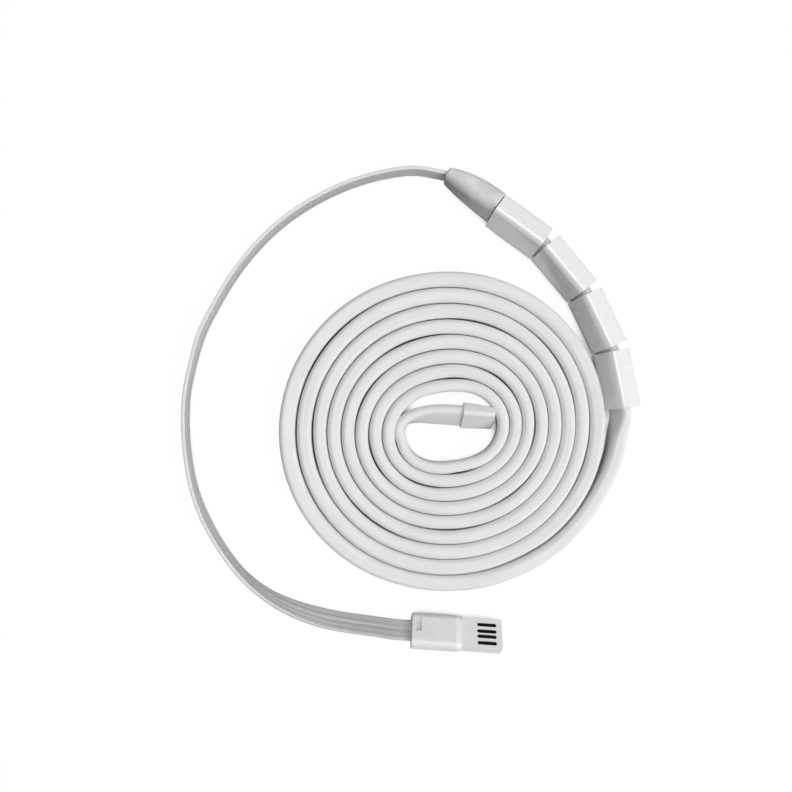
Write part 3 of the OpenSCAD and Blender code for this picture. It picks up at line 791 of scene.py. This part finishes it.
def extruded_pvc():
    """Flat white PVC jacket, extruded over four cores: the cores show as faint grey streaks along
    it, and the die has left fine lines. Near the plug it is darker in patches, which is painted shade."""
    material, tree = new_material("extruded_pvc")
    uv = add_node(tree, "ShaderNodeUVMap", {"uv_map": "along"}).outputs["UV"]
    drawn = draw_out(tree, uv, 0.015)
    place = add_node(tree, "ShaderNodeTexCoord").outputs["Object"]
    fine = noise(tree, drawn, 0.9, 1).outputs["Fac"]
    broad = noise(tree, drawn, 2.2, 1).outputs["Fac"]
    colour = blend_colours(tree, span(tree, broad, 0, 1, 0.35, 0.65), "#F0F0F0", "#E6E6E6")
    colour = blend_colours(tree, span(tree, fine, 0, 0.5, 0.5, 0.8), colour, "#BDBDBD")
    # Painted shade: near the plug the jacket is darker in patches, fading out between 30 and 80 mm from it
    travel = add_node(tree, "ShaderNodeSeparateXYZ", {}, {"Vector": uv}).outputs["X"]
    darker_patches = add_node(tree, "ShaderNodeMath", {"operation": "MULTIPLY"},
                       {0: span(tree, travel, 1, 0, 0.03, 0.08), 1: span(tree, broad, 0.55, 1, 0.4, 0.6)})
    colour = blend_colours(tree, darker_patches.outputs[0], colour, "#BEBEBE")
    roughness = span(tree, fine, 0.3, 0.45)
    normal = bumps(tree, fine, 4)
    normal = bumps(tree, noise(tree, place, 2.5).outputs["Fac"], 4, normal)
    plastic(tree, colour, roughness, normal, ior=1.5, specular_ior_level=0.2)
    return material


def matt_tpe():
    """Soft thermoplastic rubber, moulded with a blasted tool: matt, a little cloudy, with a fine
    grain that takes the edge off every highlight."""
    material, tree = new_material("matt_tpe")
    place = add_node(tree, "ShaderNodeTexCoord").outputs["Object"]
    cloud = noise(tree, place, 7, 4).outputs["Fac"]
    grain = noise(tree, place, 0.35).outputs["Fac"]
    colour = blend_colours(tree, span(tree, cloud, 0, 1, 0.35, 0.65), "#E6E6E6", "#D2D2D2")
    roughness = span(tree, cloud, 0.52, 0.66)
    normal = bumps(tree, grain, 22)
    plastic(tree, colour, roughness, normal, ior=1.48, specular_ior_level=0.12)
    return material


def glossy_abs():
    """ABS moulded in a polished tool: a hard clear gloss over white, with the slightest orange
    peel, and handling that has dulled it in patches."""
    material, tree = new_material("glossy_abs")
    place = add_node(tree, "ShaderNodeTexCoord").outputs["Object"]
    peel = noise(tree, place, 1.8, 1).outputs["Fac"]
    darker_patches = noise(tree, place, 5, 4).outputs["Fac"]
    colour = blend_colours(tree, darker_patches, "#F4F4F4", "#EFEFEF")
    roughness = span(tree, darker_patches, 0.16, 0.3, 0.3, 0.7)
    normal = bumps(tree, peel, 4)
    plastic(tree, colour, roughness, normal, ior=1.55, coat_weight=1.0, coat_roughness=0.1)
    return material


def satin_abs(name, colour, shade):
    """ABS moulded in a finely eroded tool: satin, with a tight even grain."""
    material, tree = new_material(name)
    place = add_node(tree, "ShaderNodeTexCoord").outputs["Object"]
    cloud = noise(tree, place, 5, 3).outputs["Fac"]
    grain = noise(tree, place, 0.3).outputs["Fac"]
    tone = blend_colours(tree, span(tree, cloud, 0, 1, 0.3, 0.7), colour, shade)
    roughness = span(tree, grain, 0.3, 0.42)
    normal = bumps(tree, grain, 9)
    plastic(tree, tone, roughness, normal, ior=1.53)
    return material


def plated(name, colour, worn, roughness):
    """A thin metal plating: its gloss is uneven, and it has dulled in small patches."""
    material, tree = new_material(name)
    place = add_node(tree, "ShaderNodeTexCoord").outputs["Object"]
    grain = noise(tree, place, 0.4).outputs["Fac"]
    tone = blend_colours(tree, span(tree, grain, 0, 1, 0.4, 0.65), colour, worn)
    gloss = span(tree, grain, roughness - 0.08, roughness + 0.08)
    plastic(tree, tone, gloss, bumps(tree, grain, 3), metallic=1.0)
    return material


def dress(pieces, material):
    for piece in pieces:
        piece.data.materials.clear()
        piece.data.materials.append(material)


def cad(*names):
    return [nodes[name] for name in names]


plug_abs = satin_abs("satin_abs_plug", "#EFEFEF", "#EAEAEA")
dress([lead] + cad("lead_sleeved", "lead_run", "lead_coil", "lead_tail"), extruded_silicone())
dress([ribbon] + cad("ribbon_lead"), extruded_pvc())
dress([boot] + cad("boot"), matt_tpe())
dress(sleeves + cad("sleeve_1", "sleeve_2", "sleeve_3", "sleeve_4"), glossy_abs())
dress([grip, tongue] + cad("plug_body", "plug_tongue"), plug_abs)
dress([cap] + cad("end_cap"), satin_abs("satin_abs_cap", "#EBEBEB", "#E6E6E6"))
# Nickel over the contacts, coloured near black as painted shade in the slots; bare copper cores; tinned
# ferrules
dress(springs + cad("contact_power", "contact_data_minus", "contact_data_plus", "contact_ground"),
      plated("nickel_painted_slot_shade", "#2A2A2C", "#1E1E20", 0.42))
dress(cad("plug_cores", "boot_cores", "lead_wires"), plated("bare_copper", "#D8956C", "#B8754C", 0.32))
dress(cad("splice_ferrules"), plated("tinned_brass", "#C8C9CC", "#B4B5B8", 0.4))


# ---------------------------------------------------------------- floor and light

# What the floor throws back on the object, and what a reflection sees of it
FLOOR_BOUNCE = "#484848"
FLOOR_REFLECTED = "#505050"
WINDOW_SIDE = (0.25, 0.08, 0.965)
# How far round it a point of the floor looks for the object, for the camera and for a reflection,
# and between which shares of open sky its painted shade goes from dark to white
NOOK_REACH, NOOK_SHUT, NOOK_OPEN = 5.0, 0.18, 0.47
FOOT_REACH, FOOT_SHUT, FOOT_OPEN = 8.0, 0.6, 0.7
FLOOR_GLOW = 0.95


def lay_floor():
    """A white floor: what it throws back on the object is grey, its glow is dimmed in deep nooks as
    painted shade, and a reflection sees it darken round the object's foot, also painted shade."""
    bpy.ops.mesh.primitive_plane_add(size=4, location=(0, 0, -0.00002))
    floor = bpy.context.active_object
    floor.name = "floor"
    material, tree = new_material("floor_paper")
    path = add_node(tree, "ShaderNodeLightPath")
    open_sky = add_node(tree, "ShaderNodeAmbientOcclusion", {"samples": 12, "Distance": NOOK_REACH * MM})
    beside = add_node(tree, "ShaderNodeAmbientOcclusion", {"samples": 8, "Distance": FOOT_REACH * MM})
    # Painted shade: the white glow that the camera sees fades to dark where the floor is shut in
    glow = span(tree, open_sky.outputs["AO"], 0.0, FLOOR_GLOW, NOOK_SHUT, NOOK_OPEN)
    paper = add_node(tree, "ShaderNodeBsdfDiffuse", {"Color": linear(FLOOR_BOUNCE)})
    white = add_node(tree, "ShaderNodeEmission", {}, {"Strength": glow})
    seen_white = add_node(tree, "ShaderNodeAddShader", {}, {0: white.outputs[0], 1: paper.outputs[0]})
    bright_paper = add_node(tree, "ShaderNodeBsdfDiffuse", {"Color": linear(FLOOR_REFLECTED)})
    # Painted shade for reflections: the floor's glow fades close round the object's foot
    shaded = span(tree, beside.outputs["AO"], 0.0, 1.0, FOOT_SHUT, FOOT_OPEN)
    lit = add_node(tree, "ShaderNodeEmission", {}, {"Strength": shaded})
    mirrored = add_node(tree, "ShaderNodeAddShader", {}, {0: lit.outputs[0], 1: bright_paper.outputs[0]})
    glossy = add_node(tree, "ShaderNodeMath", {"operation": "MAXIMUM"},
                      {0: path.outputs["Is Glossy Ray"], 1: path.outputs["Is Transmission Ray"]})
    unseen = add_node(tree, "ShaderNodeMixShader", {}, {0: glossy.outputs[0], 1: paper.outputs[0],
                                                       2: mirrored.outputs[0]})
    surface = add_node(tree, "ShaderNodeMixShader", {}, {0: path.outputs["Is Camera Ray"],
                                                        1: unseen.outputs[0], 2: seen_white.outputs[0]})
    add_node(tree, "ShaderNodeOutputMaterial", {}, {"Surface": surface.outputs[0]})
    floor.data.materials.append(material)


def hang_lamp(name, at, size, watts, mirrored=True):
    """A soft round lamp that points at the origin, seen in glossy surfaces or not."""
    lamp_data = bpy.data.lights.new(name, "AREA")
    lamp_data.shape = "DISK"
    lamp_data.size = size
    lamp_data.energy = watts
    lamp = bpy.data.objects.new(name, lamp_data)
    lamp.location = at
    lamp.rotation_euler = (-Vector(at)).to_track_quat("-Z", "Y").to_euler()
    lamp.visible_glossy = mirrored
    bpy.context.scene.collection.objects.link(lamp)


def light_room(overhead, horizon):
    """A soft room, brightest up towards its window side, and evenly bright to the camera."""
    world = bpy.data.worlds.new("room")
    bpy.context.scene.world = world
    world.use_nodes = True
    tree = world.node_tree
    tree.nodes.clear()
    path = add_node(tree, "ShaderNodeLightPath")
    ahead = add_node(tree, "ShaderNodeTexCoord")
    facing = add_node(tree, "ShaderNodeVectorMath", {"operation": "DOT_PRODUCT", 1: WINDOW_SIDE},
                      {0: ahead.outputs["Generated"]})
    dim = span(tree, facing.outputs["Value"], horizon, overhead)
    seen = add_node(tree, "ShaderNodeMath", {"operation": "MAXIMUM"},
                    {0: path.outputs["Is Camera Ray"], 1: dim})
    room = add_node(tree, "ShaderNodeBackground", {}, {"Strength": seen.outputs[0]})
    add_node(tree, "ShaderNodeOutputWorld", {}, {"Surface": room.outputs[0]})


lay_floor()
hang_lamp("key_lamp", (0.54, -0.4, 0.5), 0.5, 2.8, mirrored=False)
hang_lamp("fill_lamp", (0.58, 0.26, 0.46), 0.5, 0.9, mirrored=False)
hang_lamp("top_lamp", (-0.05, 0.05, 0.8), 0.35, 1.7)
light_room(0.72, 0.0)
bpy.context.scene.view_settings.view_transform = "Standard"
